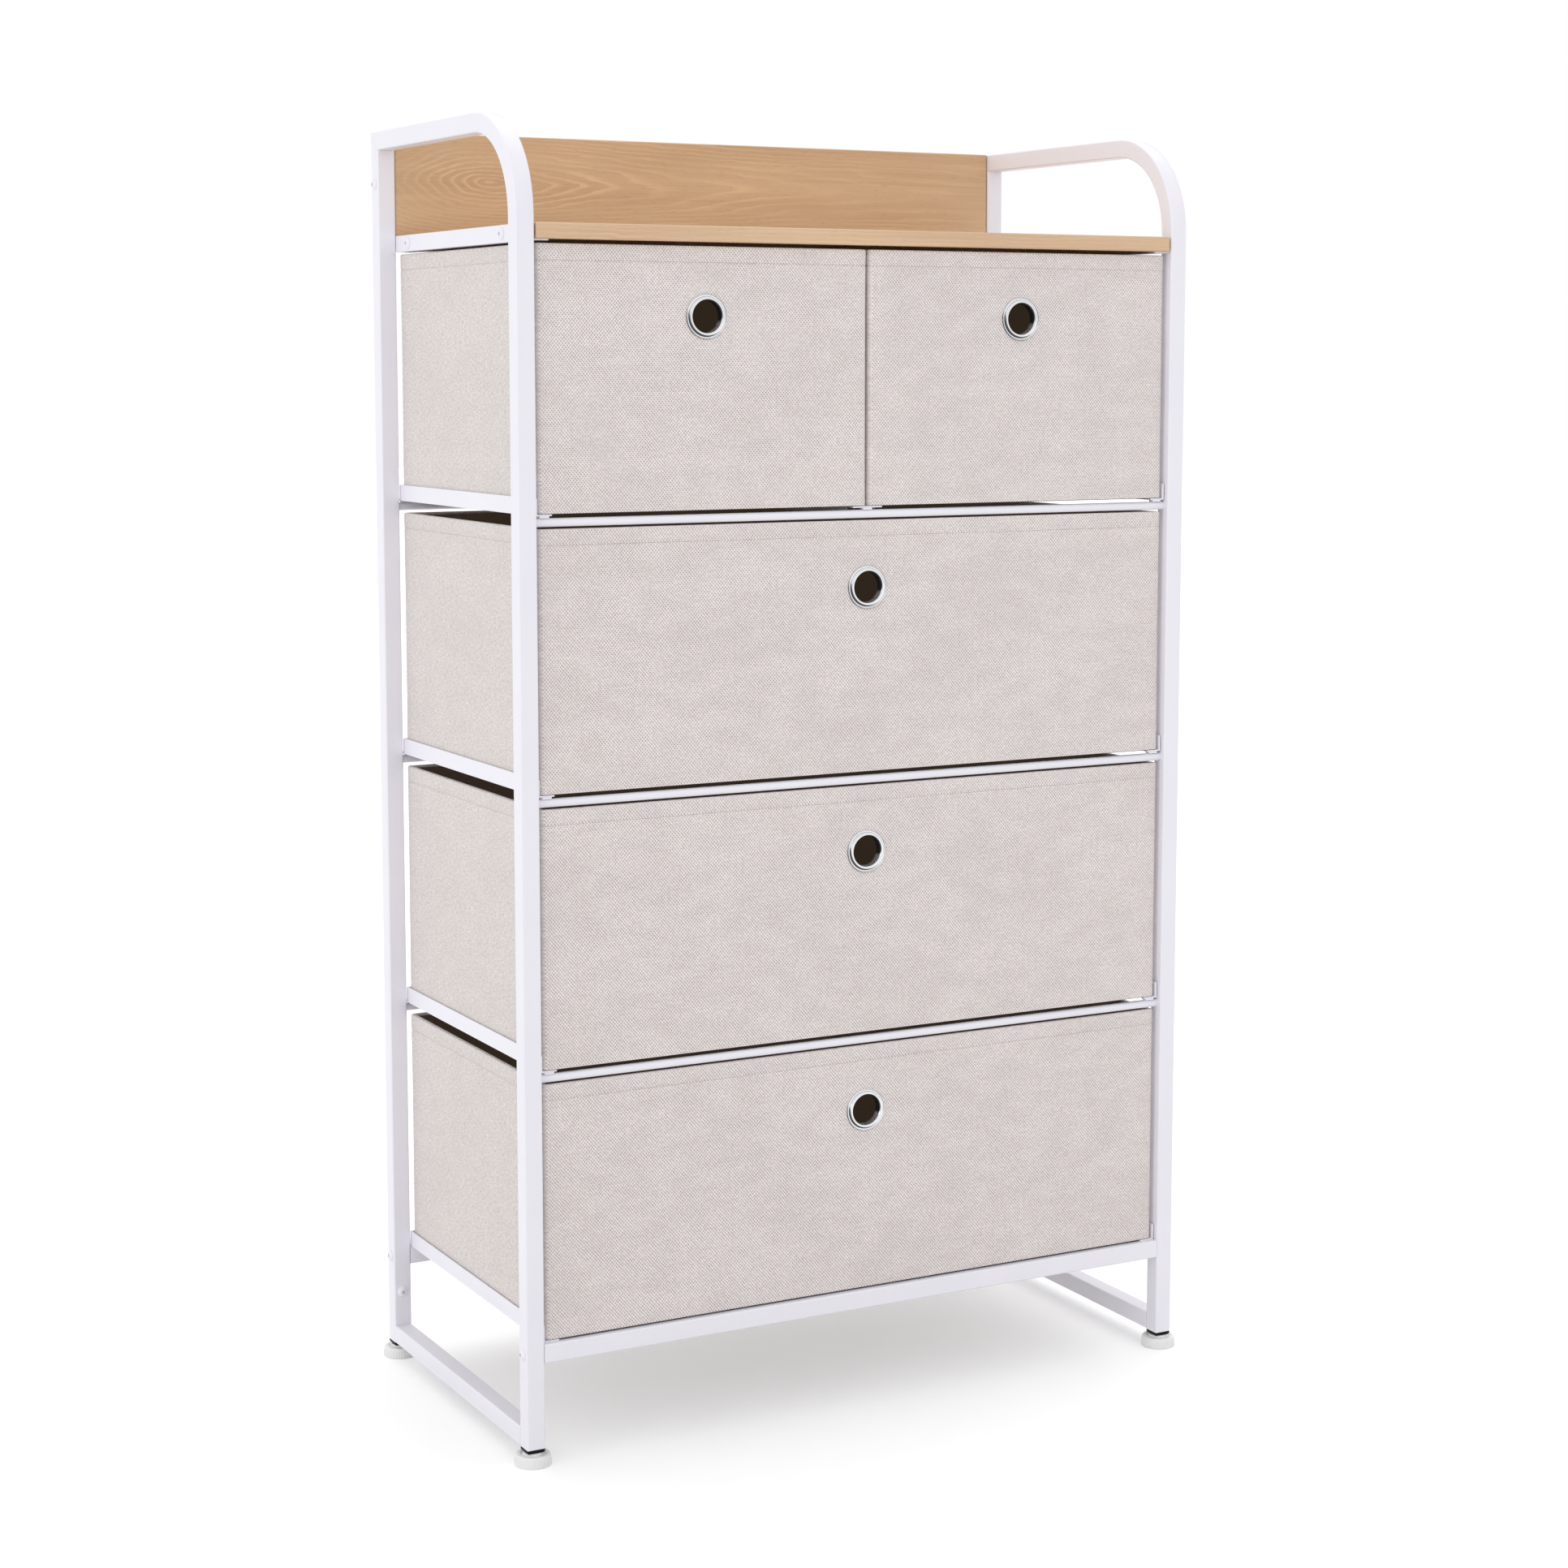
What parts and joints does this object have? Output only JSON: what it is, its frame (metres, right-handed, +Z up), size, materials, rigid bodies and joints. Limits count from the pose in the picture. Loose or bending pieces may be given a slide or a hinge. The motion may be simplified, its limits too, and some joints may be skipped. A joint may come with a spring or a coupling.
{
  "type": "fabric drawer dresser",
  "caption": "Free-standing dresser with a bent square-tube metal frame, a wooden top with a back board, and fabric drawers with eyelet finger pulls that slide out to the front.",
  "frame": {"origin": "on the floor under the middle of the frame", "axes": "+Z up, +X to the right as seen from the front, +Y from the front to the back"},
  "size_m": [0.614, 0.314, 1.029],
  "materials": {
    "white_metal": "satin powder coat",
    "oak_board": "matt light oak laminate",
    "linen_fabric": "coarse linen weave",
    "dark_lining": "matt non-woven",
    "fibreboard": "raw fibreboard",
    "chrome": "polished",
    "white_plastic": "moulded",
    "black_plastic": "moulded",
    "bare_steel": "zinc plated"
  },
  "bodies": {
    "frame": {"back_board": "oak_board", "centre_runner": "white_metal", "end_plugs": "black_plastic", "front_bar_1": "white_metal", "front_bar_2": "white_metal", "front_bar_3": "white_metal", "front_bottom_rail": "white_metal", "left_bottom_rail": "white_metal", "left_front_tube": "white_metal", "left_rear_post": "white_metal", "left_runner_1": "white_metal", "left_runner_2": "white_metal", "left_runner_3": "white_metal", "left_runner_4": "white_metal", "left_shelf_angle": "white_metal", "rear_bars": "white_metal", "rear_bottom_rail": "white_metal", "rear_stops": "white_metal", "right_bottom_rail": "white_metal", "right_front_tube": "white_metal", "right_rear_post": "white_metal", "right_runner_1": "white_metal", "right_runner_2": "white_metal", "right_runner_3": "white_metal", "right_runner_4": "white_metal", "right_shelf_angle": "white_metal", "runner_tabs": "white_metal", "top_board": "oak_board"},
    "drawer_1_left": {"drawer_1_left_cover": "linen_fabric", "drawer_1_left_boards": "fibreboard", "drawer_1_left_lining": "dark_lining", "drawer_1_left_eyelet": "chrome"},
    "drawer_1_right": {"drawer_1_right_cover": "linen_fabric", "drawer_1_right_boards": "fibreboard", "drawer_1_right_lining": "dark_lining", "drawer_1_right_eyelet": "chrome"},
    "drawer_2": {"drawer_2_cover": "linen_fabric", "drawer_2_boards": "fibreboard", "drawer_2_lining": "dark_lining", "drawer_2_eyelet": "chrome"},
    "drawer_3": {"drawer_3_cover": "linen_fabric", "drawer_3_boards": "fibreboard", "drawer_3_lining": "dark_lining", "drawer_3_eyelet": "chrome"},
    "drawer_4": {"drawer_4_cover": "linen_fabric", "drawer_4_boards": "fibreboard", "drawer_4_lining": "dark_lining", "drawer_4_eyelet": "chrome"},
    "front_left_stud": {"front_left_stud": "bare_steel"},
    "front_left_foot": {"front_left_foot": "white_plastic"},
    "front_right_stud": {"front_right_stud": "bare_steel"},
    "front_right_foot": {"front_right_foot": "white_plastic"},
    "rear_left_stud": {"rear_left_stud": "bare_steel"},
    "rear_left_foot": {"rear_left_foot": "white_plastic"},
    "rear_right_stud": {"rear_right_stud": "bare_steel"},
    "rear_right_foot": {"rear_right_foot": "white_plastic"}
  },
  "joints": [
    {"name": "drawer_1_left_slide", "type": "slide", "parent": "frame", "child": "drawer_1_left", "axis": [0, -1, 0], "range_m": [0, 0.22]},
    {"name": "drawer_1_right_slide", "type": "slide", "parent": "frame", "child": "drawer_1_right", "axis": [0, -1, 0], "range_m": [0, 0.22]},
    {"name": "drawer_2_slide", "type": "slide", "parent": "frame", "child": "drawer_2", "axis": [0, -1, 0], "range_m": [0, 0.22]},
    {"name": "drawer_3_slide", "type": "slide", "parent": "frame", "child": "drawer_3", "axis": [0, -1, 0], "range_m": [0, 0.22]},
    {"name": "drawer_4_slide", "type": "slide", "parent": "frame", "child": "drawer_4", "axis": [0, -1, 0], "range_m": [0, 0.22]},
    {"name": "front_left_stud_slide", "type": "slide", "parent": "frame", "child": "front_left_stud", "axis": [0, 0, -1], "range_m": [0, 0.01]},
    {"name": "front_left_foot_turn", "type": "hinge", "parent": "front_left_stud", "child": "front_left_foot", "pos_m": [-0.2925, -0.1425, 0.005], "axis": [0, 0, 1], "range_deg": [0, 2880]},
    {"name": "front_right_stud_slide", "type": "slide", "parent": "frame", "child": "front_right_stud", "axis": [0, 0, -1], "range_m": [0, 0.01]},
    {"name": "front_right_foot_turn", "type": "hinge", "parent": "front_right_stud", "child": "front_right_foot", "pos_m": [0.2925, -0.1425, 0.005], "axis": [0, 0, 1], "range_deg": [0, 2880]},
    {"name": "rear_left_stud_slide", "type": "slide", "parent": "frame", "child": "rear_left_stud", "axis": [0, 0, -1], "range_m": [0, 0.01]},
    {"name": "rear_left_foot_turn", "type": "hinge", "parent": "rear_left_stud", "child": "rear_left_foot", "pos_m": [-0.2925, 0.1425, 0.005], "axis": [0, 0, 1], "range_deg": [0, 2880]},
    {"name": "rear_right_stud_slide", "type": "slide", "parent": "frame", "child": "rear_right_stud", "axis": [0, 0, -1], "range_m": [0, 0.01]},
    {"name": "rear_right_foot_turn", "type": "hinge", "parent": "rear_right_stud", "child": "rear_right_foot", "pos_m": [0.2925, 0.1425, 0.005], "axis": [0, 0, 1], "range_deg": [0, 2880]}
  ],
  "couplings": [
    {"joint": "front_left_stud_slide", "follows": "front_left_foot_turn", "m_per_rad": 0.00019894},
    {"joint": "front_right_stud_slide", "follows": "front_right_foot_turn", "m_per_rad": 0.00019894},
    {"joint": "rear_left_stud_slide", "follows": "rear_left_foot_turn", "m_per_rad": 0.00019894},
    {"joint": "rear_right_stud_slide", "follows": "rear_right_foot_turn", "m_per_rad": 0.00019894}
  ]
}
